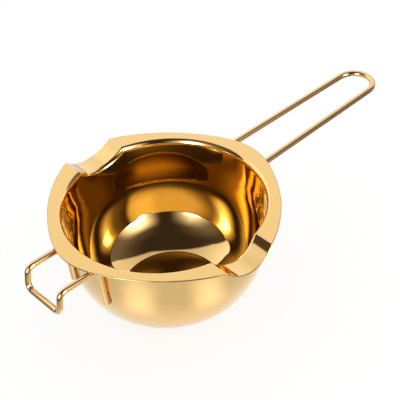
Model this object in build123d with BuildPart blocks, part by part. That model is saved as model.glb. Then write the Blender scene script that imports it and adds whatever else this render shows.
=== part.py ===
from build123d import *
import os
from math import cos, radians, sin, sqrt, tan

# Melting bowl that sits over a pot of hot water.  Millimetres.
# Frame: origin at the centre of the flat base's underside, +Z up along the bowl's axis,
# +X towards the long wire handle, the two pouring spouts on the Y axis.

# --- driving dimensions -------------------------------------------------------------------

# drawn bowl, inside skin: a straight wall and arcs that run into each other, down to the flat bottom
sheet = 0.8                   # thickness of the sheet the bowl is drawn from
mouth_radius = 60.4           # where the flat flange ends
rim_bend = 1.2                # radius of the turn from the flange into the flare, upper side
flare_arc = 3.92              # radius of the softer turn from there into the wall
wall_length = 16.05           # straight wall
waist_arc = 122.0             # radius of the slight curve below it
shoulder_arc = 50.1           # radius of the round side
heel_arc = 32.1               # radius of the tighter turn towards the bottom
sole_arc = 58.6               # radius of the shallow stretch round the flat bottom
base_bend = 4.0               # softening where the flat bottom starts

# lean of the skin from upright, in degrees: where the flare starts, along the wall, and where each
# arc after the waist starts
flare_lean = 55.0
wall_lean = 1.93
shoulder_lean = 5.9
heel_lean = 32.2
sole_lean = 60.0
base_lean = 69.2

# flange around the rim: radius = mean + oval*cos(2a) + lobes*cos(4a) + corners*cos(8a)
flange_width = 8.2            # mean width of the flat flange
flange_oval = -1.9            # wider towards the spouts than towards the handle
flange_lobes = 2.65           # four widenings: handle, hook and both spouts
flange_corners = 0.35         # straightens the flanks between the widenings
outline_points = 72           # points that carry the flange's outline

# pouring spouts pressed into the flange
spout_width = 32.8            # between the two creases
spout_depth = 7.6             # below the flange, at the middle
spout_reach = 11.5            # from the bowl's mouth to the lip

# bent wires
wire_diameter = 3.6
wire_bend = 4.5               # radius of the bends, on the wire's centre line
weld_sink = 0.1               # how far a foot is pressed into the bowl's wall
foot_share = 0.09             # share of the shoulder that a foot reaches down to

handle_foot_spacing = 27.6    # between the two legs at the bowl
handle_loop_spacing = 23.8    # between the two legs where the end loop starts
handle_reach = 90.3           # flange's edge to the start of the end loop
handle_rise = 2.2             # degrees above level
handle_gap = 0.05             # between the wire and the flange's underside

hook_spacing = 28.8           # between the two arms
hook_gap = 1.5                # between the arms and the flange's underside
hook_length = 15.2            # flange's edge to the bend where the arms turn down
hook_lean = 2.0               # how much further out the bar is than that bend
hook_drop = 13.3              # arms down to the cross bar

# weld beads
bead_radius = 2.3
bead_length = 9.0
bead_overhang = 1.2           # bead past the end of the foot

# --- derived dimensions -------------------------------------------------------------------

wire_radius = wire_diameter / 2


def fall(radius, start_lean, end_lean):
    """Height lost along an arc between two leans."""
    return radius * (sin(radians(end_lean)) - sin(radians(start_lean)))


wall_fall = wall_length * cos(radians(wall_lean))
waist_fall = fall(waist_arc, wall_lean, shoulder_lean)
shoulder_fall = fall(shoulder_arc, shoulder_lean, heel_lean)
heel_fall = fall(heel_arc, heel_lean, sole_lean)
sole_fall = fall(sole_arc, sole_lean, base_lean)
base_fall = fall(base_bend, base_lean, 90)
rim_fall = fall(rim_bend, flare_lean, 90) + fall(flare_arc, wall_lean, flare_lean)
side_fall = wall_fall + waist_fall + shoulder_fall + heel_fall + sole_fall + base_fall
rim_height = sheet + rim_fall + side_fall
underside_height = rim_height - sheet
lip_radius = mouth_radius + spout_reach

spout_arc_radius = ((spout_width / 2) ** 2 + spout_depth**2) / (2 * spout_depth)
spout_axis_height = rim_height - spout_depth + spout_arc_radius
cut_margin = sheet            # how far cutting tools run past the metal


def flange_radius(angle):
    """Distance of the flange's outer edge from the bowl's axis, angle in degrees from +X."""
    turn = radians(angle)
    swing = flange_oval * cos(2 * turn) + flange_lobes * cos(4 * turn) + flange_corners * cos(8 * turn)
    return mouth_radius + flange_width + swing


flange_edge = flange_radius(0)


def skin(outwards):
    """Outline from the mouth to the flat bottom, drawn in the XZ plane, some way outside the inside skin."""
    rim = JernArc((mouth_radius, rim_height - outwards), (-1, 0), rim_bend - outwards, 90 - flare_lean)
    flare = JernArc(rim @ 1, rim % 1, flare_arc - outwards, flare_lean - wall_lean)
    wall = Line(flare @ 1, flare @ 1 + (flare % 1) * wall_length)
    waist = JernArc(wall @ 1, wall % 1, waist_arc + outwards, wall_lean - shoulder_lean)
    shoulder = JernArc(waist @ 1, waist % 1, shoulder_arc + outwards, shoulder_lean - heel_lean)
    heel = JernArc(shoulder @ 1, shoulder % 1, heel_arc + outwards, heel_lean - sole_lean)
    sole = JernArc(heel @ 1, heel % 1, sole_arc + outwards, sole_lean - base_lean)
    base = JernArc(sole @ 1, sole % 1, base_bend + outwards, base_lean - 90)
    return rim, wall, shoulder, base


with BuildLine() as outside_line:
    outside_rim, outside_wall, outside_shoulder, outside_base = skin(sheet)


def foot_point(side, y, arc, share):
    """Point of a foot's centre line beside an arc of the outside skin, side +1 handle or -1 hook."""
    run = arc % share
    out = arc @ share + Vector(-run.Y, run.X) * (wire_radius - weld_sink)
    return Vector(side * sqrt(out.X**2 - y**2), y, out.Y)


def foot_top(side, y):
    """Upper end of a foot, level with the top of the wall."""
    return foot_point(side, y, outside_wall, 0)


def foot_end(side, y):
    """Lower end of a foot, on the shoulder."""
    return foot_point(side, y, outside_shoulder, foot_share)


# --- bowl ---------------------------------------------------------------------------------

# everything inside the bowl's outer skin, flange left out
with BuildPart() as bowl_envelope:
    with BuildSketch(Plane.XZ):
        with BuildLine():
            rim, wall, shoulder, base = skin(sheet)
            Polyline(base @ 1, (0, 0), (0, rim_height), (mouth_radius, rim_height), rim @ 0)
        make_face()
    revolve(axis=Axis.Z)

# the room inside the bowl
with BuildPart() as bowl_room:
    with BuildSketch(Plane.XZ):
        with BuildLine():
            rim, wall, shoulder, base = skin(0)
            top = rim_height + cut_margin
            Polyline(base @ 1, (0, sheet), (0, top), (mouth_radius, top), rim @ 0)
        make_face()
    revolve(axis=Axis.Z)

# trough-shaped bar through both spouts, outer skin, cut to the round lip
with BuildPart() as spout_outside:
    with BuildSketch(Plane.XZ):
        with Locations((0, spout_axis_height)):
            Circle(spout_arc_radius + sheet)
        with Locations((0, rim_height)):
            Rectangle(2 * lip_radius, 2 * lip_radius, align=(Align.CENTER, Align.MAX), mode=Mode.INTERSECT)
    extrude(amount=lip_radius, both=True)
    with BuildSketch():
        Circle(lip_radius)
    extrude(amount=rim_height, mode=Mode.INTERSECT)

# the same bar's hollow, running out past the lip
with BuildPart() as spout_room:
    with BuildSketch(Plane.XZ):
        with Locations((0, spout_axis_height)):
            Circle(spout_arc_radius)
    extrude(amount=lip_radius + cut_margin, both=True)

with BuildPart() as bowl:
    add(bowl_envelope.part)
    with BuildSketch(Plane.XY.offset(underside_height)):
        with BuildLine():
            outline = []
            for step in range(outline_points):
                angle = 360 * step / outline_points
                outline.append(Vector(flange_radius(angle), 0).rotate(Axis.Z, angle))
            Spline(*outline, periodic=True)
        make_face()
        Circle(lip_radius, mode=Mode.INTERSECT)
    extrude(amount=sheet)
    add(spout_outside.part)
    add(bowl_room.part, mode=Mode.SUBTRACT)
    add(spout_room.part, mode=Mode.SUBTRACT)

bowl.part.label = "bowl"

# --- long handle --------------------------------------------------------------------------

handle_foot_y = handle_foot_spacing / 2
handle_loop_y = handle_loop_spacing / 2
leg_slope = tan(radians(handle_rise))
leg_edge_height = underside_height - handle_gap - wire_radius    # centre line at the flange's edge


def leg_point(x, y):
    """Point of a handle leg's centre line, which climbs away from the bowl."""
    return Vector(x, y, leg_edge_height + leg_slope * (x - flange_edge))


with BuildPart() as long_handle:
    with BuildLine() as handle_path:
        for way in (1, -1):
            top = foot_top(1, way * handle_foot_y)
            loop_start = leg_point(flange_edge + handle_reach, way * handle_loop_y)
            FilletPolyline(foot_end(1, top.Y), leg_point(top.X, top.Y), loop_start, radius=wire_bend)
        left_start = leg_point(flange_edge + handle_reach, handle_loop_y)
        right_start = leg_point(flange_edge + handle_reach, -handle_loop_y)
        leg_direction = left_start - leg_point(foot_top(1, handle_foot_y).X, handle_foot_y)
        TangentArc(left_start, right_start, tangent=leg_direction)
    with BuildSketch(Plane(origin=handle_path.wire() @ 0, z_dir=handle_path.wire() % 0)):
        Circle(wire_radius)
    sweep(path=handle_path.wire())
    add(bowl_envelope.part, mode=Mode.SUBTRACT)

long_handle.part.label = "long_handle"

# --- rest hook ----------------------------------------------------------------------------

hook_y = hook_spacing / 2
arm_height = underside_height - hook_gap - wire_radius
bend_x = -(flange_edge + hook_length)
bar_x = bend_x - hook_lean
bar_height = arm_height - hook_drop

with BuildPart() as rest_hook:
    with BuildLine() as hook_path:
        hook_foot_x = foot_top(-1, hook_y).X
        FilletPolyline(
            foot_end(-1, hook_y),
            (hook_foot_x, hook_y, arm_height),
            (bend_x, hook_y, arm_height),
            (bar_x, hook_y, bar_height),
            (bar_x, -hook_y, bar_height),
            (bend_x, -hook_y, arm_height),
            (hook_foot_x, -hook_y, arm_height),
            foot_end(-1, -hook_y),
            radius=wire_bend,
        )
    with BuildSketch(Plane(origin=hook_path.wire() @ 0, z_dir=hook_path.wire() % 0)):
        Circle(wire_radius)
    sweep(path=hook_path.wire())
    add(bowl_envelope.part, mode=Mode.SUBTRACT)

rest_hook.part.label = "rest_hook"

# --- weld beads at the ends of the four feet ----------------------------------------------


def weld_bead(side, y, wire):
    """Bead along both flanks and round the end of one foot, lying on the bowl's wall."""
    end = foot_end(side, y)
    down = (end - foot_top(side, y)).normalized()
    to_wall = Vector(-end.X, -end.Y, 0).normalized() * (wire_radius - weld_sink)
    start = end + to_wall + down * bead_overhang
    with BuildPart() as bead:
        with BuildSketch(Plane(origin=start, z_dir=-down)):
            Circle(bead_radius)
        extrude(amount=bead_length)
        add(bowl_envelope.part, mode=Mode.SUBTRACT)
        add(wire, mode=Mode.SUBTRACT)
    return bead


beads = {}
for place, side, y, wire in (
    ("handle_weld_left", 1, handle_foot_y, long_handle.part),
    ("handle_weld_right", 1, -handle_foot_y, long_handle.part),
    ("hook_weld_left", -1, hook_y, rest_hook.part),
    ("hook_weld_right", -1, -hook_y, rest_hook.part),
):
    beads[place] = weld_bead(side, y, wire)
    beads[place].part.label = place

# --- export -------------------------------------------------------------------------------

os.makedirs("parts", exist_ok=True)
export_step(bowl.part, "parts/bowl.step")
export_step(long_handle.part, "parts/long_handle.step")
export_step(rest_hook.part, "parts/rest_hook.step")
for place, bead in beads.items():
    export_step(bead.part, f"parts/{place}.step")
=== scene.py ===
"""Gold-toned melting bowl with a looped wire handle and a wire rest hook.

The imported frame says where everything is, and this script gives every piece its surface.
Metres, +Z up, origin under the middle of the bowl's flat bottom, +X towards the long handle,
the two spouts on the Y axis.
"""

import logging
import math
from dataclasses import dataclass
from enum import Enum
from typing import Sequence, Union

import bpy
import numpy as np
from mathutils import Matrix, Vector


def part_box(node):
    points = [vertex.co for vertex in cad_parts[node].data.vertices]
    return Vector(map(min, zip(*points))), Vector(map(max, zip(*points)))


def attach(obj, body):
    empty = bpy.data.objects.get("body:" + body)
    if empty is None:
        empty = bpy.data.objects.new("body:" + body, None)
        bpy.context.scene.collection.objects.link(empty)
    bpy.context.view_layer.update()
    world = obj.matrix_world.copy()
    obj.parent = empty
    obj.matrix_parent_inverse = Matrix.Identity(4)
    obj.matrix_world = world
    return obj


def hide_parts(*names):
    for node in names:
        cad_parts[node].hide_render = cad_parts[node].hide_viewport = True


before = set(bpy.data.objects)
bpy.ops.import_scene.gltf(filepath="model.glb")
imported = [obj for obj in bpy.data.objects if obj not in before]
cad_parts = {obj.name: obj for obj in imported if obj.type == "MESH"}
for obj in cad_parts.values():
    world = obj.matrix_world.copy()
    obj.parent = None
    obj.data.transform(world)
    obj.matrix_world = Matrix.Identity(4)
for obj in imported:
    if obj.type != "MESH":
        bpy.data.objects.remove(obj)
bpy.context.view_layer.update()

LOG = logging.getLogger("melting_bowl")
BODY = "root"
MM = 0.001
DEGREES = math.degrees(1.0)
SHARP_ABOVE = math.radians(40.0)

Number = Union["Field", float]
Colour = tuple[float, float, float]
Span = tuple[float, float]
Point = tuple[float, float]


# --- nodes --------------------------------------------------------------------------------


def feed(target: bpy.types.NodeSocket, value: object) -> None:
    """Feed a node's input.

    Args:
        target: The input's socket.
        value: A field or another socket to link to it, or a plain value to set it to.
    """
    if isinstance(value, Field):
        value = value.socket
    if isinstance(value, bpy.types.NodeSocket):
        target.id_data.links.new(value, target)
    else:
        target.default_value = value


def add_node(
    tree: bpy.types.NodeTree, kind: str, settings: dict[str, object] | None = None, **inputs: object
) -> bpy.types.Node:
    """Add a node to a tree.

    Args:
        tree: Where the node goes.
        kind: The node's type name.
        settings: The node's own settings, such as its mode.
        inputs: Input name, with underscores for spaces, to a field, socket or plain value.

    Returns:
        The new node.
    """
    node = tree.nodes.new(kind)
    for name, value in (settings or {}).items():
        setattr(node, name, value)
    for name, value in inputs.items():
        named = [socket for socket in node.inputs if socket.name == name.replace("_", " ")]
        feed(next((socket for socket in named if socket.enabled), named[0]), value)
    return node


@dataclass(frozen=True)
class Field:
    """A number in a node tree, combined with others by ordinary arithmetic."""

    socket: bpy.types.NodeSocket

    def math(self, operation: str, *others: Number) -> "Field":
        """Feed this number and the others to a Math node.

        Args:
            operation: Name of the Math node's operation.
            others: The further operands, as fields or plain numbers.

        Returns:
            The node's result.
        """
        node = add_node(self.socket.id_data, "ShaderNodeMath", {"operation": operation})
        for target, value in zip(node.inputs, (self, *others)):
            feed(target, value)
        return Field(node.outputs[0])

    def __add__(self, other: Number) -> "Field":
        """Sum."""
        return self.math("ADD", other)

    def __sub__(self, other: Number) -> "Field":
        """Difference."""
        return self.math("SUBTRACT", other)

    def __mul__(self, other: Number) -> "Field":
        """Product."""
        return self.math("MULTIPLY", other)

    def __truediv__(self, other: Number) -> "Field":
        """Quotient."""
        return self.math("DIVIDE", other)

    def __abs__(self) -> "Field":
        """Size without its sign."""
        return self.math("ABSOLUTE")

    def root(self) -> "Field":
        """Square root."""
        return self.math("SQRT")

    def reaches(self, count: int) -> "Field":
        """1 where this whole number is at least count, 0 elsewhere."""
        return self.math("GREATER_THAN", count - 0.5)

    def rise(self, low: float, high: float) -> "Field":
        """A smooth step.

        Args:
            low: Up to this number the step is 0.
            high: From this number on it is 1.

        Returns:
            The step.
        """
        step = {"interpolation_type": "SMOOTHSTEP"}
        tree = self.socket.id_data
        node = add_node(tree, "ShaderNodeMapRange", step, Value=self, From_Min=low, From_Max=high)
        return Field(node.outputs[0])

    def fade(self, low: float, high: float) -> "Field":
        """A smooth step down: 1 up to low, 0 from high on."""
        return self.rise(low, high) * -1.0 + 1.0

    def times_plus(self, factor: Number, addend: Number) -> "Field":
        """This number times factor, plus addend."""
        return self.math("MULTIPLY_ADD", factor, addend)

    def towards(self, other: Number, share: "Field") -> "Field":
        """This number at share 0, the other at share 1, and a blend between."""
        return (self * -1.0 + other).times_plus(share, self)


def parts(tree: bpy.types.NodeTree, vector: bpy.types.NodeSocket) -> tuple[Field, Field, Field]:
    """The three coordinates of a vector."""
    split = add_node(tree, "ShaderNodeSeparateXYZ", Vector=vector)
    return tuple(Field(split.outputs[axis]) for axis in range(3))


def together(tree: bpy.types.NodeTree, x: object, y: object, z: object) -> bpy.types.NodeSocket:
    """The vector with these three coordinates."""
    return add_node(tree, "ShaderNodeCombineXYZ", X=x, Y=y, Z=z).outputs[0]


class GeometryTree:
    """A Geometry Nodes tree with named inputs, used once on one object and then made plain mesh."""

    def __init__(self, name: str) -> None:
        """Start an empty tree with a geometry going in and a geometry coming out.

        Args:
            name: The tree's name.
        """
        self.tree = bpy.data.node_groups.new(name, "GeometryNodeTree")
        for way in ("INPUT", "OUTPUT"):
            self.tree.interface.new_socket("Geometry", in_out=way, socket_type="NodeSocketGeometry")
        self.entry = self.tree.nodes.new("NodeGroupInput")
        self.exit = self.tree.nodes.new("NodeGroupOutput")
        self.geometry = self.entry.outputs[0]
        self.values = {}

    def setting(self, name: str, value: object, kind: str = "Float") -> Field:
        """Add a named input to the tree.

        Args:
            name: What the input is called.
            value: What the object's modifier sets it to.
            kind: The type of its socket.

        Returns:
            The input as a field.
        """
        face = self.tree.interface
        socket = face.new_socket(name, in_out="INPUT", socket_type=f"NodeSocket{kind}")
        self.values[socket.identifier] = value
        return Field(self.entry.outputs[name])

    def attribute(self, name: str) -> Field:
        """Read a number stored on the points."""
        kind, settings = "GeometryNodeInputNamedAttribute", {"data_type": "FLOAT"}
        return Field(add_node(self.tree, kind, settings, Name=name).outputs["Attribute"])

    def store(
        self, geometry: bpy.types.NodeSocket, name: str, value: bpy.types.NodeSocket, kind: str
    ) -> bpy.types.NodeSocket:
        """Store a value on the points of a geometry.

        Args:
            geometry: The geometry's socket.
            name: What the stored value is called.
            value: The value's socket.
            kind: Its data type.

        Returns:
            The geometry with the value on it.
        """
        settings, inputs = {"data_type": kind}, {"Geometry": geometry, "Name": name, "Value": value}
        return add_node(self.tree, "GeometryNodeStoreNamedAttribute", settings, **inputs).outputs[0]

    def position(self) -> bpy.types.NodeSocket:
        """Where the points are."""
        return self.tree.nodes.new("GeometryNodeInputPosition").outputs[0]

    def pass_through(self, kind: str, mode: str = "", **inputs: object) -> None:
        """Send the geometry through a node, whose first output carries on.

        Args:
            kind: The node's type name.
            mode: The node's mode, where it has one that matters.
            inputs: The node's other inputs, as for add_node.
        """
        node = add_node(self.tree, kind, {"mode": mode} if mode else None, **inputs)
        feed(node.inputs[0], self.geometry)
        self.geometry = node.outputs[0]

    def apply(self, piece: bpy.types.Object, finish: bpy.types.Material) -> bpy.types.Object:
        """Run the tree on a piece and keep the result as its plain mesh.

        Args:
            piece: The object to work on, which is replaced.
            finish: The material that the last node gives to every face.

        Returns:
            A mesh object of the same name, with no modifier.
        """
        surface = self.setting("Finish", finish, "Material")
        self.pass_through("GeometryNodeRealizeInstances")
        self.pass_through("GeometryNodeSetMaterial", Material=surface)
        feed(self.exit.inputs[0], self.geometry)
        modifier = piece.modifiers.new(self.tree.name, "NODES")
        modifier.node_group = self.tree
        for identifier, value in self.values.items():
            modifier[identifier] = value
        view = bpy.context.evaluated_depsgraph_get()
        view.update()
        mesh = bpy.data.meshes.new_from_object(piece.evaluated_get(view), depsgraph=view)
        mesh.name = name = piece.name
        bpy.data.objects.remove(piece)
        return place(name, mesh)


# --- meshes and pieces --------------------------------------------------------------------


def make_mesh(
    name: str, points: Sequence, edges: Sequence, faces: Sequence, **stored: Sequence[float]
) -> bpy.types.Mesh:
    """Make a mesh.

    Args:
        name: The mesh's name.
        points: Where its points are.
        edges: Pairs of points, for a mesh without faces.
        faces: The points of each face.
        stored: Name to the numbers that are stored on the points.

    Returns:
        The new mesh.
    """
    mesh = bpy.data.meshes.new(name)
    mesh.from_pydata(points, edges, faces)
    for label, values in stored.items():
        mesh.attributes.new(label, "FLOAT", "POINT").data.foreach_set("value", values)
    return mesh


def place(name: str, data: bpy.types.ID) -> bpy.types.Object:
    """Put something into the scene as an object at the origin.

    Args:
        name: The object's name.
        data: Its mesh or camera.

    Returns:
        The object.
    """
    piece = bpy.data.objects.new(name, data)
    bpy.context.scene.collection.objects.link(piece)
    return piece


def smooth(piece: bpy.types.Object) -> None:
    """Shade a mesh smoothly, with its sharp corners kept.

    Args:
        piece: The mesh object.
    """
    piece.data.polygons.foreach_set("use_smooth", [True] * len(piece.data.polygons))
    piece.data.set_sharp_from_angle(angle=SHARP_ABOVE)
    piece.data.update()


def settle(piece: bpy.types.Object, node: str) -> bpy.types.Object:
    """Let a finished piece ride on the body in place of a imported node, and log it.

    Args:
        piece: The finished piece.
        node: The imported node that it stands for.

    Returns:
        The same piece.
    """
    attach(piece, BODY)
    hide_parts(node)
    LOG.info("%s: %d faces", piece.name, len(piece.data.polygons))
    return piece


# --- finishes -----------------------------------------------------------------------------


def colour_mix(
    tree: bpy.types.NodeTree, share: Field, first: object, second: object
) -> bpy.types.NodeSocket:
    """Blend two colours.

    Args:
        tree: Where the node goes.
        share: 0 for the first colour, 1 for the second.
        first: A colour, or the socket that gives one.
        second: A colour, or the socket that gives one.

    Returns:
        The blended colour's socket.
    """
    node = add_node(tree, "ShaderNodeMix", {"data_type": "RGBA"})
    feed(node.inputs[0], share)
    ends = [socket for socket in node.inputs if socket.type == "RGBA"]
    for end, colour in zip(ends, (first, second)):
        feed(end, (*colour, 1.0) if isinstance(colour, tuple) else colour)
    return next(socket for socket in node.outputs if socket.type == "RGBA")


def shader_mix(
    tree: bpy.types.NodeTree, share: object, first: bpy.types.Node, second: bpy.types.Node
) -> bpy.types.NodeSocket:
    """Blend two shaders.

    Args:
        tree: Where the node goes.
        share: 0 for the first shader, 1 for the second.
        first: The first shader's node.
        second: The second shader's node.

    Returns:
        The blended shader's socket.
    """
    node = tree.nodes.new("ShaderNodeMixShader")
    for target, value in zip(node.inputs, (share, first.outputs[0], second.outputs[0])):
        feed(target, value)
    return node.outputs[0]


def stored_value(tree: bpy.types.NodeTree, name: str, output: str = "Fac") -> bpy.types.NodeSocket:
    """What a piece has stored on its points."""
    return add_node(tree, "ShaderNodeAttribute", {"attribute_name": name}).outputs[output]


class SharedEffect:
    """A shader node group with named inputs and outputs, built once and used by every finish."""

    def __init__(self, name: str, scales: dict[str, float], outputs: Sequence[str]) -> None:
        """Start the group, which always takes a vector called Place.

        Args:
            name: The group's name.
            scales: The names and values of its other inputs.
            outputs: The names of the numbers that it puts out.
        """
        self.tree = bpy.data.node_groups.new(name, "ShaderNodeTree")
        face = self.tree.interface
        face.new_socket("Place", in_out="INPUT", socket_type="NodeSocketVector")
        for label, value in scales.items():
            socket = face.new_socket(label, in_out="INPUT", socket_type="NodeSocketFloat")
            socket.default_value = value
        for label in outputs:
            face.new_socket(label, in_out="OUTPUT", socket_type="NodeSocketFloat")
        self.entry = self.tree.nodes.new("NodeGroupInput")
        self.exit = self.tree.nodes.new("NodeGroupOutput")

    def noise(self, scale: str, **inputs: float) -> Field:
        """Noise over the place, its scale taken from one of the group's inputs.

        Args:
            scale: Name of the group's input.
            inputs: The noise's other inputs, as for add_node.

        Returns:
            The noise, from 0 to 1.
        """
        where, size = self.entry.outputs["Place"], self.entry.outputs[scale]
        node = add_node(self.tree, "ShaderNodeTexNoise", Vector=where, Scale=size, **inputs)
        return Field(node.outputs[0])

    def give(self, name: str, result: Field) -> None:
        """Connect a result to one of the group's outputs."""
        feed(self.exit.inputs[name], result)

    def use(self, tree: bpy.types.NodeTree, where: bpy.types.NodeSocket) -> dict[str, Field]:
        """Place the group in a material and name its outputs."""
        node = add_node(tree, "ShaderNodeGroup", {"node_tree": self.tree}, Place=where)
        return {socket.name: Field(socket) for socket in node.outputs}


def polishing_marks() -> SharedEffect:
    """Fine lines that a polishing wheel leaves, broken up along their length.

    Returns:
        A group that turns a coordinate, stretched along the lines, into a line height and a
        mask of where the lines are strong.
    """
    scales = {"Line Scale": 9000.0, "Patch Scale": 60.0}
    effect = SharedEffect("polishing_marks", scales, ("Height", "Mask"))
    patch_edge = (0.42, 0.72)
    strong = effect.noise("Patch Scale", Detail=2.0).rise(*patch_edge)
    effect.give("Height", effect.noise("Line Scale", Detail=3.0, Roughness=0.6) * strong)
    effect.give("Mask", strong)
    return effect


def handling_haze() -> SharedEffect:
    """Faint cloudy patches where hands and cloths have dulled the polish.

    Returns:
        A group that puts out how dull a place is, from 0 to 1.
    """
    effect = SharedEffect("handling_haze", {"Cloud Scale": 35.0, "Speck Scale": 900.0}, ("Haze",))
    cloud_edge, speck_edge, speck_share = (0.48, 0.78), (0.66, 0.8), 0.2
    clouds = effect.noise("Cloud Scale", Detail=4.0, Roughness=0.55, Distortion=0.6)
    specks = effect.noise("Speck Scale").rise(*speck_edge)
    effect.give("Haze", clouds.rise(*cloud_edge) * (1.0 - speck_share) + specks * speck_share)
    return effect


class Grain(Enum):
    """Which way the polishing lines run."""

    ROUND_THE_AXIS = 1
    ALONG_THE_WIRE = 2
    NONE = 3

    def place(self, tree: bpy.types.NodeTree, where: bpy.types.NodeSocket) -> bpy.types.NodeSocket:
        """Coordinate whose first part runs along the lines.

        Args:
            tree: The material's nodes.
            where: Object coordinates.

        Returns:
            The socket of the new coordinate.
        """
        if self is Grain.NONE:
            return where
        if self is Grain.ROUND_THE_AXIS:
            turn_length = 0.05
            x, y, z = parts(tree, where)
            return together(tree, y.math("ARCTAN2", x) * turn_length, (x * x + y * y).root(), z)
        across, up, _ = parts(tree, stored_value(tree, "section", "Vector"))
        return together(tree, stored_value(tree, "along"), across, up)


@dataclass(frozen=True)
class Glow:
    """Painted light on the bowl's inner skin: a glow in streaks that stands in for light lost after
    many mirrorings.
    """

    steps: int = 4
    strength: float = 2.8
    painted_streak_light: Colour = (1.0, 1.0, 0.7)
    painted_faint_light: Colour = (0.06, 0.05, 0.03)
    streak_scale: float = 110.0
    streak_twist: float = 1.5
    streak_edge: Span = (0.56, 0.68)

    def light(
        self, tree: bpy.types.NodeTree, depth: Field, where: bpy.types.NodeSocket
    ) -> bpy.types.NodeSocket:
        """Painted light that the surface gives off, in streaks.

        Args:
            tree: The material's nodes.
            depth: How often the light has been mirrored.
            where: Object coordinates.

        Returns:
            The colour's socket, black where the light has been mirrored less often.
        """
        # painted light: glowing streaks stand in for reflections of bright light lost after many
        # mirrorings
        noise = {"Scale": self.streak_scale, "Detail": 1.0, "Distortion": self.streak_twist}
        cloud = add_node(tree, "ShaderNodeTexNoise", Vector=where, **noise)
        painted_streaks = Field(cloud.outputs[0]).rise(*self.streak_edge)
        painted_glow = colour_mix(tree, painted_streaks, self.painted_faint_light, self.painted_streak_light)
        lost = depth.reaches(self.steps) * Field(stored_value(tree, "inner_skin"))
        return colour_mix(tree, lost, (0.0, 0.0, 0.0), painted_glow)


@dataclass(frozen=True)
class GoldFinish:
    """Steel with a thin gold-toned coating, polished to some degree.

    The colour, pale where the polish is dulled, is what is seen directly. Where the metal mirrors
    itself it shows a painted reflection tone, deeper than its own colour, and from deepest_steps
    mirrorings on it shows a second painted reflection tone.
    """

    name: str
    colour: Colour
    pale: Colour
    painted_mirrored_tone: Colour
    painted_far_mirrored_tone: Colour
    roughness: float
    haze_roughness: float
    line_roughness: float
    bump: float
    grain: Grain
    stretch: float = 0.02
    haze_pale: float = 0.5
    line_pale: float = 0.2
    deepest_steps: int = 3
    coat: float = 1.0
    deep_coat: float = 0.3
    coat_ior: float = 1.6
    coat_roughness: float = 0.02
    # the rolled edge's wear, and the colour of the painted shade line along it
    edge_roughness: float = 0.0
    painted_edge_shade: Colour = (0.62, 0.40, 0.15)
    edge_coat_loss: float = 0.8
    glow: Glow | None = None

    def build(self, marks: SharedEffect, haze: SharedEffect) -> bpy.types.Material:
        """Make the material.

        Args:
            marks: The shared polishing lines.
            haze: The shared dull patches.

        Returns:
            A material ready to be given to a piece.
        """
        material = bpy.data.materials.new(self.name)
        material.use_nodes = True
        tree = material.node_tree
        where = tree.nodes.new("ShaderNodeTexCoord").outputs["Object"]

        # polishing lines are long one way and fine the other
        stretched = add_node(
            tree,
            "ShaderNodeMapping",
            Vector=self.grain.place(tree, where),
            Scale=(self.stretch, 1.0, 1.0),
        )
        marked = marks.use(tree, stretched.outputs[0])
        mask, dull = marked["Mask"], haze.use(tree, where)["Haze"]

        # painted reflection tone: seen directly the coating has its own colour, and where the metal
        # mirrors itself its colour is painted deeper
        path = tree.nodes.new("ShaderNodeLightPath")
        direct, depth = Field(path.outputs["Is Camera Ray"]), Field(path.outputs["Ray Depth"])
        dulled = dull * self.haze_pale + mask * self.line_pale
        painted_mirrored_tone = colour_mix(tree, depth.reaches(self.deepest_steps), self.painted_mirrored_tone, self.painted_far_mirrored_tone)
        tint = colour_mix(tree, direct, painted_mirrored_tone, colour_mix(tree, dulled, self.colour, self.pale))
        rough = dull * (self.haze_roughness - self.roughness) + self.roughness
        rough = rough + mask * self.line_roughness
        coated = direct
        # the rolled edge is rougher and loses coat where worn, and its colour is painted darker as
        # a painted shade line along the flange's edge
        if self.edge_roughness:
            worn_and_shaded_edge = Field(stored_value(tree, "rolled_edge"))
            tint = colour_mix(tree, worn_and_shaded_edge, tint, self.painted_edge_shade)
            rough = rough + worn_and_shaded_edge * self.edge_roughness
            coated = direct * (worn_and_shaded_edge * -self.edge_coat_loss + 1.0)
        relief = add_node(
            tree, "ShaderNodeBump", Height=marked["Height"], Strength=1.0, Distance=self.bump
        )
        inputs = {
            "Base Color": tint,
            "Roughness": rough,
            "Metallic": 1.0,
            "Normal": relief.outputs[0],
            "Coat Weight": coated * (self.coat - self.deep_coat) + self.deep_coat,
            "Coat IOR": self.coat_ior,
            "Coat Roughness": self.coat_roughness,
        }
        # painted light: the inner skin glows where the light has been mirrored many times
        if self.glow:
            inputs["Emission Color"] = self.glow.light(tree, depth, where)
            inputs["Emission Strength"] = self.glow.strength
        for name, value in inputs.items():
            feed(tree.nodes["Principled BSDF"].inputs[name], value)
        return material


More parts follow.
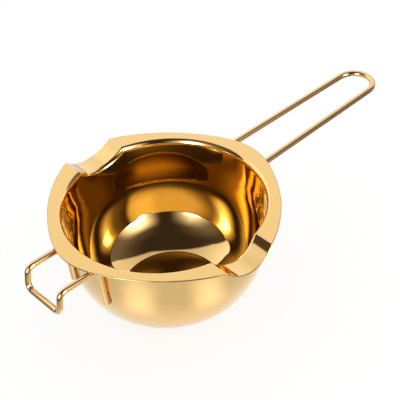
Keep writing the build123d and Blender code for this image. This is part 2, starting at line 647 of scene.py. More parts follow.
class Finish(Enum):
    """The finishes that the object shows."""

    BOWL = GoldFinish(
        name="bowl_polish",
        colour=(0.87, 0.555, 0.165),
        pale=(0.90, 0.60, 0.23),
        painted_mirrored_tone=(0.80, 0.50, 0.10),
        painted_far_mirrored_tone=(0.84, 0.64, 0.20),
        edge_roughness=0.22,
        glow=Glow(),
        roughness=0.02,
        haze_roughness=0.05,
        line_roughness=0.015,
        bump=0.0006 * MM,
        grain=Grain.ROUND_THE_AXIS,
    )
    WIRE = GoldFinish(
        name="wire_polish",
        colour=(0.86, 0.54, 0.21),
        pale=(0.88, 0.60, 0.30),
        painted_mirrored_tone=(0.74, 0.44, 0.13),
        painted_far_mirrored_tone=(0.80, 0.50, 0.12),
        roughness=0.08,
        haze_roughness=0.16,
        line_roughness=0.04,
        bump=0.0015 * MM,
        grain=Grain.ALONG_THE_WIRE,
        coat=0.6,
    )
    WELD = GoldFinish(
        name="weld_metal",
        colour=(0.42, 0.25, 0.11),
        pale=(0.52, 0.36, 0.22),
        painted_mirrored_tone=(0.28, 0.15, 0.06),
        painted_far_mirrored_tone=(0.28, 0.15, 0.06),
        roughness=0.26,
        haze_roughness=0.45,
        line_roughness=0.05,
        bump=0.02 * MM,
        grain=Grain.NONE,
        stretch=1.0,
        coat=0.3,
    )


# --- bowl ---------------------------------------------------------------------------------


@dataclass(frozen=True)
class Arc:
    """One arc of the bowl's section, between two leans from upright, in degrees.

    Its radius is below 0 where the lean falls on the way down, as it does from the flange into
    the wall.
    """

    radius: float
    start: float
    end: float
    steps: int

    def run(self, radius: float, height: float) -> list[Point]:
        """Follow the arc down and inwards.

        Args:
            radius: Distance from the axis where the arc starts.
            height: Height where it starts.

        Returns:
            Radius and height of each step, the start left out.
        """
        first = math.radians(self.start)
        points = []
        for step in range(1, self.steps + 1):
            lean = first + math.radians(self.end - self.start) * step / self.steps
            inwards = self.radius * (math.cos(lean) - math.cos(first))
            fall = self.radius * (math.sin(lean) - math.sin(first))
            points.append((radius + inwards, height - fall))
        return points


@dataclass(frozen=True)
class Straight:
    """One straight stretch of the section, its lean from upright in degrees."""

    length: float
    lean: float
    steps: int

    def run(self, radius: float, height: float) -> list[Point]:
        """Follow the stretch down and inwards.

        Args:
            radius: Distance from the axis where it starts.
            height: Height where it starts.

        Returns:
            Radius and height of each step, the start left out.
        """
        lean = math.radians(self.lean)
        inwards, fall = math.sin(lean) * self.length, math.cos(lean) * self.length
        shares = [step / self.steps for step in range(1, self.steps + 1)]
        return [(radius - inwards * share, height - fall * share) for share in shares]


def ring_faces(rings: int, around: int) -> list[tuple[int, ...]]:
    """Faces of a net that is turned round an axis.

    Args:
        rings: How many rings of points it has, after the point in the middle.
        around: How many points each ring has.

    Returns:
        A fan round the middle, then a band from each ring to the next.
    """
    sides = [(column, (column + 1) % around) for column in range(around)]
    faces = [(0, 1 + here, 1 + beside) for here, beside in sides]
    for start in range(1, 1 + (rings - 1) * around, around):
        for here, beside in sides:
            corners = (here, here + around, beside + around, beside)
            faces.append(tuple(start + corner for corner in corners))
    return faces


@dataclass
class MeltingBowl:
    """One drawn bowl: flat bottom, round side, upright wall, flange and two pressed spouts."""

    sheet: float = 0.8 * MM
    mouth_radius: float = 60.4 * MM
    rim_bend: Arc = Arc(-1.2 * MM, 90.0, 55.0, 8)
    flare: Arc = Arc(-3.92 * MM, 55.0, 1.93, 14)
    wall: Straight = Straight(16.05 * MM, 1.93, 14)
    waist: Arc = Arc(122.0 * MM, 1.93, 5.9, 8)
    shoulder: Arc = Arc(50.1 * MM, 5.9, 32.2, 24)
    heel: Arc = Arc(32.1 * MM, 32.2, 60.0, 20)
    sole: Arc = Arc(58.6 * MM, 60.0, 69.2, 7)
    base_bend: Arc = Arc(4.0 * MM, 69.2, 90.0, 8)
    floor_rows: tuple[float, ...] = (0.03, 0.25, 0.5, 0.75, 0.93, 0.985)
    flange_width: float = 8.2 * MM
    flange_rows: tuple[float, ...] = (0.02, 0.08, 0.25, 0.5, 0.75, 0.92, 0.98, 1.0)
    flange_oval: float = -1.9 * MM
    flange_lobes: float = 2.65 * MM
    flange_corners: float = 0.35 * MM
    edge_steps: int = 8
    spout_width: float = 32.8 * MM
    spout_depth: float = 7.6 * MM
    crease: float = 0.7 * MM
    crease_margin: float = math.radians(2.0)
    quarter_columns: tuple[int, int, int] = (48, 16, 14)
    fan_start: float = math.radians(50)
    foot_share: float = 0.09

    def __post_init__(self) -> None:
        """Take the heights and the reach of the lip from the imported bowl."""
        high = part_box("bowl")[1]
        self.rim_height, self.lip_radius = high.z, high.y
        self.spout_arc = (self.spout_width**2 / 4 + self.spout_depth**2) / (2 * self.spout_depth)
        self.flare_top = self.rim_bend.run(self.mouth_radius, self.rim_height)[-1]
        self.wall_top = self.flare.run(*self.flare_top)[-1]
        self.wall_foot = self.wall.run(*self.wall_top)[-1]

    def section(self) -> np.ndarray:
        """Half section of the inner skin, from near the axis out to the edge of the flange.

        Returns:
            Rows of radius, height, lip share and flange share. The lip share is how far a row
            follows the rim where a spout is pressed down; the flange share runs from the
            mouth to the flange's edge.
        """
        # from the mouth down to the flat bottom, each stretch running into the next
        upper = (self.rim_bend, self.flare, self.wall, self.waist)
        lower = (self.shoulder, self.heel, self.sole, self.base_bend)
        side = [(self.mouth_radius, self.rim_height)]
        for stretch in upper + lower:
            side += stretch.run(*side[-1])
        edge, floor = side[-1]
        rows = [(edge * share, floor, 0.0, 0.0) for share in self.floor_rows]
        foot, top = self.wall_foot[1], self.flare_top[1]
        for radius, height in reversed(side):
            rows.append((radius, height, min(max((height - foot) / (top - foot), 0.0), 1.0), 0.0))
        for share in self.flange_rows:
            radius = self.mouth_radius + self.flange_width * share
            rows.append((radius, self.rim_height, 1.0, share))
        return np.array(rows)

    def foot_line(self, gap: float) -> tuple[Point, Point]:
        """Where a wire's foot runs down the outside of the wall.

        Args:
            gap: Distance of the wire's centre line from the outer skin.

        Returns:
            Radius and height of the line's upper and lower end.
        """
        start, end = self.shoulder.start, self.shoulder.end
        lean = start + (end - start) * self.foot_share
        shoulder_top = self.waist.run(*self.wall_foot)[-1]
        low = Arc(self.shoulder.radius, start, lean, 1).run(*shoulder_top)[-1]
        out = self.sheet + gap
        ends = []
        for (radius, height), degrees in ((self.wall_top, self.wall.lean), (low, lean)):
            angle = math.radians(degrees)
            ends.append((radius + out * math.cos(angle), height - out * math.sin(angle)))
        return tuple(ends)

    def columns(self) -> np.ndarray:
        """Where the net's columns stand, close together at the spouts' creases.

        Returns:
            Their angles round the axis.
        """
        crease = math.acos(self.spout_width / 2 / self.mouth_radius)
        bounds = (0, crease - self.crease_margin, crease + self.crease_margin, math.pi / 2)
        stretches = zip(bounds, bounds[1:], self.quarter_columns)
        quarter = np.concatenate([np.linspace(*stretch, endpoint=False) for stretch in stretches])
        mirrored = math.pi - np.concatenate([quarter[1:], [math.pi / 2]])[::-1]
        half = np.concatenate([quarter, mirrored])
        return np.concatenate([half, half + math.pi])

    def net(self) -> bpy.types.Object:
        """Turn the inner skin as a plain shape.

        Returns:
            The skin, with the lip share and the flange share stored on its points.
        """
        rows, angles = self.section(), self.columns()
        points = [(0.0, 0.0, rows[0][1])]
        for radius, height, _, _ in rows:
            points += [(radius * math.cos(a), radius * math.sin(a), height) for a in angles]
        lip, flange = ([0.0, *np.repeat(rows[:, column], len(angles))] for column in (2, 3))
        faces = ring_faces(len(rows), len(angles))
        mesh = make_mesh("bowl_net", points, [], faces, lip_share=lip, flange_share=flange)
        return place("drawn_bowl", mesh)

    def press(self, net: bpy.types.Object, finish: bpy.types.Material) -> bpy.types.Object:
        """Cut the flange's outline and press the spouts into it.

        Args:
            net: The turned inner skin.
            finish: The bowl's material.

        Returns:
            The same skin, pressed.
        """
        tree = GeometryTree("press_rim")
        mouth = tree.setting("Mouth Radius", self.mouth_radius)
        width = tree.setting("Flange Width", self.flange_width)
        oval = tree.setting("Oval", self.flange_oval)
        lobes = tree.setting("Lobes", self.flange_lobes)
        corners = tree.setting("Corners", self.flange_corners)
        inset = tree.setting("Edge Inset", self.sheet / 2)
        lip = tree.setting("Lip Radius", self.lip_radius)
        half_width = tree.setting("Spout Half Width", self.spout_width / 2)
        depth = tree.setting("Spout Depth", self.spout_depth)
        arc = tree.setting("Spout Arc Radius", self.spout_arc)
        crease = tree.setting("Crease Softness", self.crease)
        fan_start = tree.setting("Fan Start", self.fan_start)
        wall_slope = tree.setting("Wall Slope", math.tan(math.radians(self.wall.lean)))
        lip_share, flange_share = tree.attribute("lip_share"), tree.attribute("flange_share")

        x, y, z = parts(tree.tree, tree.position())
        from_axis = (x * x + y * y).root()
        across, along = x / from_axis, y / from_axis
        column_x, column_y = abs(across) * mouth, abs(along) * mouth

        # spout: a round trough along Y, met by the flange in a softened crease
        trough = (arc * arc - column_x * column_x).math("MAXIMUM", 0.0).root() - arc + depth
        drop = trough.math("SMOOTH_MAX", 0.0, crease)

        # a row pressed down by a spout stays on the leaning wall
        inwards = drop * lip_share * wall_slope
        x, y = x - across * inwards, y - along * inwards
        start_x, start_y = column_x - abs(across) * inwards, column_y - abs(along) * inwards

        # outline: columns fan out towards the spouts' corners, and run straight along Y inside them
        angle = column_y.math("ARCTAN2", column_x)
        crease_angle = (half_width / mouth).math("ARCCOSINE")
        corner_angle = (half_width / lip).math("ARCCOSINE")
        fan = ((angle - fan_start) / (crease_angle - fan_start)).math("MAXIMUM", 0.0)
        fan = fan.math("MINIMUM", 1.0)
        eased = fan * fan * (fan * -2.0 + 3.0)
        edge_angle = eased.times_plus(corner_angle - crease_angle, angle)
        edge_radius = mouth + width
        for turns, swing in ((2.0, oval), (4.0, lobes), (8.0, corners)):
            edge_radius = edge_radius + (edge_angle * turns).math("COSINE") * swing
        edge_radius = edge_radius.math("MINIMUM", lip) - inset
        lip_edge = lip - inset
        inside = column_x.math("LESS_THAN", half_width)
        edge_x = (edge_angle.math("COSINE") * edge_radius).towards(column_x, inside)
        lip_y = (lip_edge * lip_edge - column_x * column_x).root()
        edge_y = (edge_angle.math("SINE") * edge_radius).towards(lip_y, inside)

        flange_x = start_x.towards(edge_x, flange_share) * across.math("SIGN")
        flange_y = start_y.towards(edge_y, flange_share) * along.math("SIGN")
        on_flange = flange_share.math("GREATER_THAN", 0.0)
        x, y = x.towards(flange_x, on_flange), y.towards(flange_y, on_flange)
        moved = together(tree.tree, x, y, z - drop * lip_share)
        tree.pass_through("GeometryNodeSetPosition", Position=moved)
        return tree.apply(net, finish)

    def thicken(self, skin: bpy.types.Object) -> None:
        """Give the pressed inner skin its sheet thickness and a rounded edge, as one closed mesh.

        Args:
            skin: The pressed skin, whose mesh is replaced.
        """
        section, around = self.section(), len(self.columns())
        rows = len(section)
        points = np.zeros(len(skin.data.vertices) * 3)
        skin.data.vertices.foreach_get("co", points)
        points = points.reshape(-1, 3)
        top = points[1:].reshape(rows, around, 3)

        along = np.gradient(top, axis=0)
        sideways = (np.roll(top, -1, axis=1) - np.roll(top, 1, axis=1)) / 2
        normal = np.cross(sideways, along)
        normal /= np.linalg.norm(normal, axis=2, keepdims=True)
        normal *= np.sign(normal[0, 0, 2])
        under = top - normal * self.sheet

        # the flange's edge is rolled round the middle of the sheet
        out = np.cross(sideways[-1], normal[-1])
        out /= np.linalg.norm(out, axis=1, keepdims=True)
        out *= np.sign(np.sum(out[0] * top[-1, 0]))
        middle = top[-1] - normal[-1] * self.sheet / 2
        roll = []
        for turn in np.linspace(0.0, math.pi, self.edge_steps + 1)[1:-1]:
            around_middle = out * math.sin(turn) + normal[-1] * math.cos(turn)
            roll.append(middle + self.sheet / 2 * around_middle)

        rings = np.concatenate([top, np.array(roll), under[::-1]])
        count = len(rings)
        vertices = [points[0], *rings.reshape(-1, 3), np.zeros(3)]
        last, ring = len(vertices) - 1, 1 + (count - 1) * around
        faces = ring_faces(count, around)
        faces += [(last, ring + (column + 1) % around, ring + column) for column in range(around)]

        # the room's skin is marked for its painted glow, and the rolled edge for its wear and
        # painted shade
        room = [float(row[2] < 1) for row in section] + [0.0] * (count - rows)
        rolled = [float(rows - 1 <= index <= count - rows) for index in range(count)]
        closed = make_mesh(
            skin.name,
            [tuple(point) for point in vertices],
            [],
            faces,
            inner_skin=[1.0, *np.repeat(room, around), 0.0],
            rolled_edge=[0.0, *np.repeat(rolled, around), 0.0],
        )
        closed.materials.append(skin.data.materials[0])
        skin.data = closed

    def build(self, finish: bpy.types.Material) -> bpy.types.Object:
        """Make the bowl.

        Args:
            finish: The bowl's material.

        Returns:
            The finished piece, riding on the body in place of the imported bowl.
        """
        bowl = self.press(self.net(), finish)
        self.thicken(bowl)
        smooth(bowl)
        return settle(bowl, "bowl")


# --- wires and welds ----------------------------------------------------------------------


@dataclass(frozen=True)
class Corner:
    """One corner of a centre line, the radius it is bent to and how thick the wire is there."""

    place: Vector
    bend: float = 0.0
    thickness: float = 1.0


@dataclass(frozen=True)
class Foot:
    """The straight end of a wire, welded to the outside of the bowl."""

    top: Vector
    end: Vector


@dataclass(frozen=True)
class Tube:
    """A round section that is bent along a line of corners."""

    radius: float
    sides: int = 32
    bend_steps: int = 16
    ripple: float = 0.0
    ripple_pitch: float = 1.1 * MM
    ripple_spacing: float = 0.22 * MM

    def draw(
        self, name: str, corners: Sequence[Corner], finish: bpy.types.Material
    ) -> bpy.types.Object:
        """Bend the section along a line, its thickness coming and going where it has a ripple.

        Args:
            name: The piece's name.
            corners: The line's corners, in order.
            finish: The piece's material.

        Returns:
            The finished tube, with the length along it and the place on its section stored.
        """
        line = make_mesh(
            f"{name}_line",
            [corner.place for corner in corners],
            [(index, index + 1) for index in range(len(corners) - 1)],
            [],
            bend=[corner.bend for corner in corners],
            thickness=[corner.thickness for corner in corners],
        )
        tree = GeometryTree(f"draw_{name}")
        radius = tree.setting("Section Radius", self.radius)
        sides = tree.setting("Sides", self.sides, "Int")
        steps = tree.setting("Steps Per Bend", self.bend_steps, "Int")
        swell = tree.setting("Ripple", self.ripple)
        pitch = tree.setting("Ripple Pitch", self.ripple_pitch)
        spacing = tree.setting("Ripple Spacing", self.ripple_spacing)

        tree.pass_through("GeometryNodeMeshToCurve")
        fillet = {"Count": steps, "Radius": tree.attribute("bend"), "Limit_Radius": True}
        tree.pass_through("GeometryNodeFilletCurve", "POLY", **fillet)
        if self.ripple:
            tree.pass_through("GeometryNodeResampleCurve", "LENGTH", Length=spacing)
        along = tree.tree.nodes.new("GeometryNodeSplineParameter").outputs["Length"]
        tree.geometry = tree.store(tree.geometry, "along", along, "FLOAT")

        round_section = {"Resolution": sides, "Radius": radius}
        circle = add_node(tree.tree, "GeometryNodeCurvePrimitiveCircle", **round_section)
        section = tree.store(circle.outputs[0], "section", tree.position(), "FLOAT_VECTOR")
        wave = (tree.attribute("along") / pitch * math.tau).math("SINE") * swell
        sweep = {"Scale": tree.attribute("thickness") * (wave + 1.0), "Fill_Caps": True}
        tree.pass_through("GeometryNodeCurveToMesh", Profile_Curve=section, **sweep)
        tube = tree.apply(place(name, line), finish)
        smooth(tube)
        return tube


@dataclass(frozen=True)
class WireStock:
    """The round wire that the handle and the hook are bent from."""

    radius: float = 1.8 * MM
    bend: float = 4.5 * MM
    sink: float = 0.1 * MM
    burr: float = 0.35 * MM

    @property
    def gap(self) -> float:
        """Distance of a welded foot's centre line from the bowl's outer skin."""
        return self.radius - self.sink

    def bent(
        self, name: str, corners: Sequence[Corner], finish: bpy.types.Material
    ) -> bpy.types.Object:
        """Bend a length of wire, the burr taken off its two cut ends.

        Args:
            name: The piece's name.
            corners: The centre line's corners, cut ends included.
            finish: The wire's material.

        Returns:
            The bent wire.
        """
        eased = []
        for end, after in ((corners[0], corners[1]), (corners[-1], corners[-2])):
            inside = end.place + (after.place - end.place).normalized() * self.burr
            eased.append([Corner(end.place, thickness=1 - self.burr / self.radius), Corner(inside)])
        line = [*eased[0], *corners[1:-1], *reversed(eased[1])]
        return Tube(self.radius).draw(name, line, finish)


@dataclass(frozen=True)
class FootedWire:
    """A wire that is bent from one foot to the other.

    The side is 1 on the handle's side of the bowl and -1 on the hook's, foot_y is the distance
    of a foot from the XZ plane, and the gap is what is left under the flange.
    """

    piece: str
    node: str
    side: int
    foot_y: float
    flange_gap: float

    def feet(self, bowl: MeltingBowl, stock: WireStock) -> list[Foot]:
        """Stand the feet against the bowl's wall.

        Args:
            bowl: The bowl.
            stock: The wire that the feet are made of.

        Returns:
            The two feet, left one first.
        """
        feet = []
        for y in (self.foot_y, -self.foot_y):
            ends = []
            for radius, height in bowl.foot_line(stock.gap):
                ends.append(Vector((self.side * math.sqrt(radius**2 - y**2), y, height)))
            feet.append(Foot(*ends))
        return feet

    def bends(self, height: float, foot_x: float, stock: WireStock) -> list[Corner]:
        """The corners between the two feet.

        Args:
            height: Height of the centre line that leaves the gap under the flange.
            foot_x: How far out the feet stand at their tops.
            stock: The wire it is bent from.

        Returns:
            The corners, from above the left foot round to above the right one.
        """
        raise NotImplementedError

    def build(
        self, bowl: MeltingBowl, stock: WireStock, finish: bpy.types.Material
    ) -> bpy.types.Object:
        """Bend the wire.

        Args:
            bowl: The bowl it is welded to.
            stock: The wire it is bent from.
            finish: The wire's material.

        Returns:
            The finished piece.
        """
        left, right = self.feet(bowl, stock)
        height = bowl.rim_height - bowl.sheet - self.flange_gap - stock.radius
        bends = self.bends(height, left.top.x, stock)
        wire = stock.bent(self.piece, [Corner(left.end), *bends, Corner(right.end)], finish)
        return settle(wire, self.node)


@dataclass(frozen=True)
class LongHandle(FootedWire):
    """Narrow loop of wire, its two legs running out from under the flange."""

    piece: str = "handle_wire"
    node: str = "long_handle"
    side: int = 1
    foot_y: float = 13.8 * MM
    flange_gap: float = 0.05 * MM
    loop_y: float = 11.9 * MM
    rise: float = math.radians(2.2)
    edge_radius: float = 69.7 * MM
    loop_start: float = 159.98 * MM
    loop_share: float = 0.998

    def bends(self, height: float, foot_x: float, stock: WireStock) -> list[Corner]:
        """The corners of the loop.

        Args:
            height: Height of the centre line over the edge of the flange.
            foot_x: How far out the feet stand at their tops.
            stock: The wire it is bent from.

        Returns:
            The corners, from above the left foot round to above the right one.
        """
        inwards = (self.foot_y - self.loop_y) / (self.loop_start - foot_x)
        turn = self.loop_y * math.hypot(1.0, inwards)
        tip_x = self.loop_start + turn * (1 - math.sin(math.atan(inwards)))
        tip_y = self.loop_y - inwards * (tip_x - self.loop_start)
        corners = []
        for x, y, bend in (
            (foot_x, self.foot_y, stock.bend),
            (tip_x, tip_y, turn * self.loop_share),
            (tip_x, -tip_y, turn * self.loop_share),
            (foot_x, -self.foot_y, stock.bend),
        ):
            rise = math.tan(self.rise) * (x - self.edge_radius)
            corners.append(Corner(Vector((x, y, height + rise)), bend))
        return corners


@dataclass(frozen=True)
class RestHook(FootedWire):
    """Short wire hook opposite the handle, which rests on the pot's rim."""

    piece: str = "hook_wire"
    node: str = "rest_hook"
    side: int = -1
    foot_y: float = 14.4 * MM
    flange_gap: float = 1.5 * MM
    bend_x: float = -84.9 * MM
    lean: float = 2.0 * MM
    drop: float = 13.3 * MM

    def bends(self, height: float, foot_x: float, stock: WireStock) -> list[Corner]:
        """The corners of the hook.

        Args:
            height: Height of the centre line of the two arms.
            foot_x: How far out the feet stand at their tops.
            stock: The wire it is bent from.

        Returns:
            The corners, from above the left foot round to above the right one.
        """
        tip = (self.bend_x - self.lean, height - self.drop)
        arm = [(foot_x, height), (self.bend_x, height), tip]
        corners = []
        for y, line in ((self.foot_y, arm), (-self.foot_y, reversed(arm))):
            corners += [Corner(Vector((x, y, z)), stock.bend) for x, z in line]
        return corners


@dataclass(frozen=True)
class WeldBead:
    """Rippled bead down both flanks of a foot and round its end."""

    radius: float = 0.72 * MM
    sides: int = 16
    ripple: float = 0.12
    flank: float = 1.5 * MM
    depth: float = 1.15 * MM
    reach: float = 7.4 * MM
    overhang: float = 1.0 * MM
    turn_share: float = 0.95
    tip_thickness: float = 0.55

    def build(self, node: str, foot: Foot, finish: bpy.types.Material) -> bpy.types.Object:
        """Make the bead of one foot.

        Args:
            node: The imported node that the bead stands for.
            foot: The foot it holds.
            finish: The weld's material.

        Returns:
            The finished piece.
        """
        down = (foot.end - foot.top).normalized()
        out = Vector((foot.end.x, foot.end.y, 0.0)).normalized()
        side = down.cross(out).normalized()
        start = foot.end - out * self.depth
        tip, turn = (0.0, self.tip_thickness), (self.flank * self.turn_share, 1.0)
        line = ((-self.reach, 1, tip), (self.overhang, 1, turn))
        line += ((self.overhang, -1, turn), (-self.reach, -1, tip))
        corners = []
        for drop, way, (bend, thickness) in line:
            on_wall = start + down * drop + side * (way * self.flank)
            corners.append(Corner(on_wall, bend, thickness))
        bead = Tube(self.radius, self.sides, ripple=self.ripple)
        bead = bead.draw(node.replace("weld", "bead"), corners, finish)
        return settle(bead, node)


# --- studio -------------------------------------------------------------------------------


@dataclass(frozen=True)
class ViewingCamera:
    """The camera, given by what it aims at and from which side."""

    aim: tuple[float, float, float] = (21.38 * MM, -6.44 * MM, 56.76 * MM)
    distance: float = 652.18 * MM
    azimuth: float = math.radians(39.51)
    elevation: float = math.radians(39.02)
    roll: float = math.radians(-4.48)
    lens: float = 102.02
    sensor: float = 36.0
    clip: Span = (0.01, 100.0)

    def build(self) -> bpy.types.Object:
        """Make the scene's camera.

        Returns:
            The camera, set as the scene's own.
        """
        turn, tilt = self.azimuth, self.elevation
        ahead = Vector((math.sin(turn), math.cos(turn), 0.0))
        sideways = Vector((math.cos(turn), -math.sin(turn), 0.0))
        forward = ahead * math.cos(tilt) - Vector((0.0, 0.0, math.sin(tilt)))
        upright = sideways.cross(forward)
        right = sideways * math.cos(self.roll) + upright * math.sin(self.roll)
        up = upright * math.cos(self.roll) - sideways * math.sin(self.roll)
        data = bpy.data.cameras.new("camera")
        data.lens = self.lens
        data.sensor_width = self.sensor
        data.clip_start, data.clip_end = self.clip
        camera = place("camera", data)
        turned = Matrix((right, up, -forward)).transposed().to_4x4()
        moved = Matrix.Translation(Vector(self.aim) - forward * self.distance)
        camera.matrix_world = moved @ turned
        bpy.context.scene.camera = camera
        return camera


@dataclass(frozen=True)
class SoftBox:
    """A soft box as the polished metal sees it, in degrees round from the viewing side and up."""

    azimuth: float
    half_width: float
    side_fade: float
    top: float
    top_fade: float
    strength: float

    def light(self, azimuth: Field, elevation: Field) -> Field:
        """Light that the box adds in a direction.

        Args:
            azimuth: The direction's angle round from the viewing side.
            elevation: Its angle up from the floor.

        Returns:
            The brightness.
        """
        away = abs(azimuth - self.azimuth)
        across = away.fade(self.half_width - self.side_fade, self.half_width + self.side_fade)
        upwards = elevation.fade(self.top - self.top_fade, self.top + self.top_fade)
        return across * upwards * self.strength


@dataclass(frozen=True)
class SweepEdge:
    """One edge of the sweep as the metal sees it: what lies past it is dark.

    Turn and lean, in degrees, give the direction that is farthest past the edge. The offset is
    the cosine at which the edge runs round that direction, and the softness is its half width.
    """

    turn: float
    lean: float
    softness: float
    offset: float = 0.0

    def light(self, towards: Field, side: Field, up: Field) -> Field:
        """Which side of the edge a direction is on.

        Args:
            towards: The direction's part towards the viewing side.
            side: Its part sideways.
            up: Its part upwards.

        Returns:
            1 on the lit side, 0 past the edge.
        """
        turn, lean = math.radians(self.turn), math.radians(self.lean)
        past = towards * (math.cos(turn) * math.cos(lean))
        past = past + side * (math.sin(turn) * math.cos(lean)) + up * math.sin(lean)
        return past.fade(self.offset - self.softness, self.offset + self.softness)


@dataclass(frozen=True)
class SweepOutline:
    """The sweep's outline in light that the metal has mirrored a number of times."""

    edges: tuple[SweepEdge, SweepEdge]
    level: float

    def light(self, towards: Field, side: Field, up: Field) -> Field:
        """The sweep's share of the light that comes from a direction."""
        first, second = (edge.light(towards, side, up) for edge in self.edges)
        return first * second * self.level


@dataclass(frozen=True)
class PaintedMirroredFloor:
    """Floor light painted for the metal's reflections only: a bright strip with a painted pool of
    light from each soft box, brighter near the object and darker beyond the strip.
    """

    half_width: Span = (0.11, 0.17)
    front_edge: Span = (0.11, 0.20)
    beyond: float = 0.22
    level: float = 0.78
    near: Span = (0.05, 0.10)
    painted_near_light: float = 0.32
    painted_pools: tuple[float, ...] = (-26.0, 31.0)
    pool_width: Span = (1.0, 21.0)
    pool_start: Span = (0.055, 0.085)
    pool_end: Span = (0.095, 0.125)
    painted_pool_light: float = 0.62

    def light(self, ahead: Field, aside: Field) -> Field:
        """Painted brightness of the floor, as the metal sees it.

        Args:
            ahead: Distance from the object towards the viewing side.
            aside: Distance to one side.

        Returns:
            The brightness, 1 for white.
        """
        on_painted_strip = abs(aside).fade(*self.half_width) * ahead.fade(*self.front_edge)
        distance = (ahead * ahead + aside * aside).root()
        azimuth = aside.math("ARCTAN2", ahead) * DEGREES
        level = distance.fade(*self.near) * self.painted_near_light + self.level
        # painted pools of light, one for each soft box
        for pool in self.painted_pools:
            reach = distance.rise(*self.pool_start) * distance.fade(*self.pool_end)
            level = level + abs(azimuth - pool).fade(*self.pool_width) * reach * self.painted_pool_light
        return (on_painted_strip * (1.0 - self.beyond) + self.beyond) * level


@dataclass(frozen=True)
class Studio:
    """Pale floor, a white sweep behind the object and over it, and two soft boxes in front.

    Outlines holds the sweep as seen in light that was mirrored once, twice, and three times or
    more. Boxes holds the soft boxes, and box_steps the mirrorings from which each further set
    is seen. Front is the direction of the viewing side. All other angles are in degrees, round
    from the viewing side and up from the floor.
    """

    floor_size: float = 6.0
    floor_grey: float = 0.16
    mirrored_grey: float = 0.6
    bounce_grey: float = 0.8
    open_sky: float = 0.95
    front: float = math.radians(-129.5)
    boxes: tuple[tuple[SoftBox, ...], ...] = (
        (
            SoftBox(-34.0, 6.2, 8.2, 27.5, 4.0, 14.0),
            SoftBox(-34.0, 8.4, 24.0, 37.4, 19.2, 2.8),
            SoftBox(43.4, 9.7, 8.0, 29.0, 4.5, 14.0),
            SoftBox(43.4, 14.9, 21.3, 44.6, 10.7, 2.8),
        ),
        (
            SoftBox(-20.0, 10.0, 12.0, 46.0, 6.0, 0.45),
            SoftBox(28.0, 9.0, 14.0, 47.0, 6.0, 3.8),
            SoftBox(50.0, 14.9, 21.3, 44.6, 10.7, 0.5),
        ),
        (
            SoftBox(-44.0, 3.0, 6.0, 45.0, 6.0, 3.2),
            SoftBox(55.0, 12.0, 12.0, 44.0, 6.0, 3.2),
        ),
    )
    box_steps: tuple[int, int] = (3, 4)
    outlines: tuple[SweepOutline, ...] = (
        SweepOutline((SweepEdge(-3.0, 7.0, 0.025), SweepEdge(28.0, 0.0, 0.025)), 1.0),
        SweepOutline((SweepEdge(-37.3, 12.1, 0.10, 0.506), SweepEdge(37.1, 41.8, 0.35, 0.60)), 1.0),
        SweepOutline((SweepEdge(-57.4, 9.6, 0.10, 0.42), SweepEdge(34.4, 31.1, 0.33, 0.42)), 0.95),
    )
    sweep_light: float = 1.08
    sweep_top_light: float = 0.6
    sweep_top: Span = (30.0, 90.0)
    side_bump: SoftBox = SoftBox(-134.0, 22.0, 13.0, 50.0, 22.0, 0.35)
    room: float = 0.042
    room_glow: float = 0.16
    glow_top: Span = (38.0, 75.0)
    glow_side: Span = (10.0, 52.0)
    gap: float = -92.0
    gap_width: float = 26.0
    gap_depth: float = 0.75
    horizon: Span = (1.0, 7.0)
    warmth: Span = (1.1, 1.15)
    painted_floor: PaintedMirroredFloor = PaintedMirroredFloor()

    def turned(self, x: Field, y: Field) -> tuple[Field, Field]:
        """A level direction or place, as parts towards the viewing side and sideways."""
        cosine, sine = math.cos(self.front), math.sin(self.front)
        return x * cosine + y * sine, y * cosine - x * sine

    def light(self, tree: bpy.types.NodeTree) -> Field:
        """Light of the studio in every direction above the floor.

        Args:
            tree: The world's nodes.

        Returns:
            The brightness, 1 for white.
        """
        where = tree.nodes.new("ShaderNodeTexCoord").outputs["Generated"]
        x, y, up = parts(tree, where)
        towards, side = self.turned(x, y)
        azimuth = side.math("ARCTAN2", towards) * DEGREES
        elevation = up.math("ARCSINE") * DEGREES

        # the surroundings count one step more than the metal has mirrored the light
        depth = Field(tree.nodes.new("ShaderNodeLightPath").outputs["Ray Depth"])
        seen, *deeper = (outline.light(towards, side, up) for outline in self.outlines)
        for mirrored, outline in enumerate(deeper, start=2):
            seen = seen.towards(outline, depth.reaches(mirrored + 1))
        sweep = elevation.rise(*self.sweep_top) * (self.sweep_top_light - self.sweep_light)
        sweep = sweep + self.sweep_light + self.side_bump.light(azimuth, elevation)

        # the room's glow is weaker between the left soft box and the sweep
        glow = elevation.fade(*self.glow_top) * abs(azimuth).rise(*self.glow_side) * self.room_glow
        gap = abs(azimuth - self.gap).rise(0.0, self.gap_width)
        glow = glow * (gap * self.gap_depth + (1.0 - self.gap_depth))
        room, *deeper = (
            sum((box.light(azimuth, elevation) for box in boxes), glow + self.room)
            for boxes in self.boxes
        )
        for mirrored, boxes in zip(self.box_steps, deeper):
            room = room.towards(boxes, depth.reaches(mirrored + 1))
        return room.towards(sweep, seen).towards(1.0, elevation.fade(*self.horizon))

    def world(self) -> bpy.types.World:
        """Make the surroundings.

        Returns:
            A world that is plain white to look at and shows the studio in reflections.
        """
        world = bpy.data.worlds.new("studio")
        world.use_nodes = True
        tree = world.node_tree
        plain = tree.nodes["Background"]
        plain.inputs["Color"].default_value = (1, 1, 1, 1)
        lit = self.light(tree)
        green, blue = (lit.math("POWER", power) for power in self.warmth)
        warm = add_node(tree, "ShaderNodeCombineColor", Red=lit, Green=green, Blue=blue)
        studio = add_node(tree, "ShaderNodeBackground", Color=warm.outputs[0])
        mirrored = tree.nodes.new("ShaderNodeLightPath").outputs["Is Glossy Ray"]
        surface = shader_mix(tree, mirrored, plain, studio)
        feed(tree.nodes["World Output"].inputs["Surface"], surface)
        return world

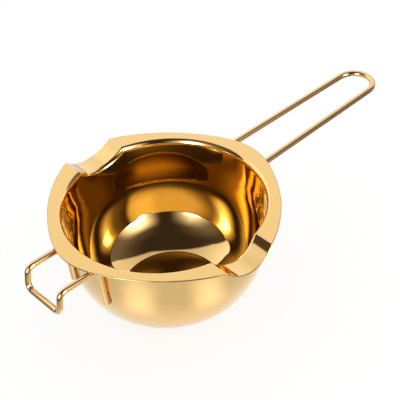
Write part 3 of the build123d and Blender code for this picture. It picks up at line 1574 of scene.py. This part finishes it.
    def floor_finish(self) -> bpy.types.Material:
        """Make the floor's material.

        Returns:
            A white floor that keeps a faint shadow, and a pale one for the light that it bounces.
        """
        material = bpy.data.materials.new("pale_floor")
        material.use_nodes = True
        tree = material.node_tree
        tree.nodes.remove(tree.nodes["Principled BSDF"])
        rays = tree.nodes.new("ShaderNodeLightPath").outputs
        seen, mirrored, through = (
            Field(rays[name]) for name in ("Is Camera Ray", "Is Glossy Ray", "Is Transmission Ray")
        )
        x, y, _ = parts(tree, tree.nodes.new("ShaderNodeTexCoord").outputs["Object"])
        # painted light: in reflections the floor shows the painted strip and pools of light, darker
        # beyond
        lit = (self.painted_floor.light(*self.turned(x, y)) - 1.0) * mirrored + 1.0

        # the floor shines by as much as its shade leaves it short of white
        grey = mirrored * (self.mirrored_grey - self.floor_grey) + self.floor_grey
        shade, shine = (
            add_node(tree, "ShaderNodeCombineColor", Red=tone, Green=tone, Blue=tone).outputs[0]
            for tone in (grey * lit, lit * (grey * -self.open_sky + 1.0))
        )
        shaded = add_node(tree, "ShaderNodeBsdfDiffuse", Color=shade)
        shining = add_node(tree, "ShaderNodeEmission", Color=shine)
        shown = tree.nodes.new("ShaderNodeAddShader")
        for target, shader in zip(shown.inputs, (shaded, shining)):
            feed(target, shader.outputs[0])
        bounce = add_node(tree, "ShaderNodeBsdfDiffuse", Color=(*[self.bounce_grey] * 3, 1.0))
        direct = (seen + mirrored + through).math("MINIMUM", 1.0)
        surface = shader_mix(tree, direct, bounce, shown)
        feed(tree.nodes["Material Output"].inputs["Surface"], surface)
        return material

    def build(self) -> None:
        """Make the floor and the world."""
        half = self.floor_size / 2
        corners = [(-half, -half, 0), (half, -half, 0), (half, half, 0), (-half, half, 0)]
        floor = place("floor", make_mesh("floor", corners, [], [(0, 1, 2, 3)]))
        floor.data.materials.append(self.floor_finish())
        bpy.context.scene.world = self.world()
        bpy.context.scene.view_settings.view_transform = "Standard"


def main() -> None:
    """Build every piece and the studio round it."""
    logging.basicConfig(level=logging.INFO, format="%(message)s")
    ViewingCamera().build()
    Studio().build()
    marks, haze = polishing_marks(), handling_haze()
    finishes = {finish: finish.value.build(marks, haze) for finish in Finish}
    bowl, stock, bead = MeltingBowl(), WireStock(), WeldBead()
    bowl.build(finishes[Finish.BOWL])
    for wire, name in ((LongHandle(), "handle"), (RestHook(), "hook")):
        wire.build(bowl, stock, finishes[Finish.WIRE])
        for foot, side in zip(wire.feet(bowl, stock), ("left", "right")):
            bead.build(f"{name}_weld_{side}", foot, finishes[Finish.WELD])


if __name__ == "__main__":
    main()
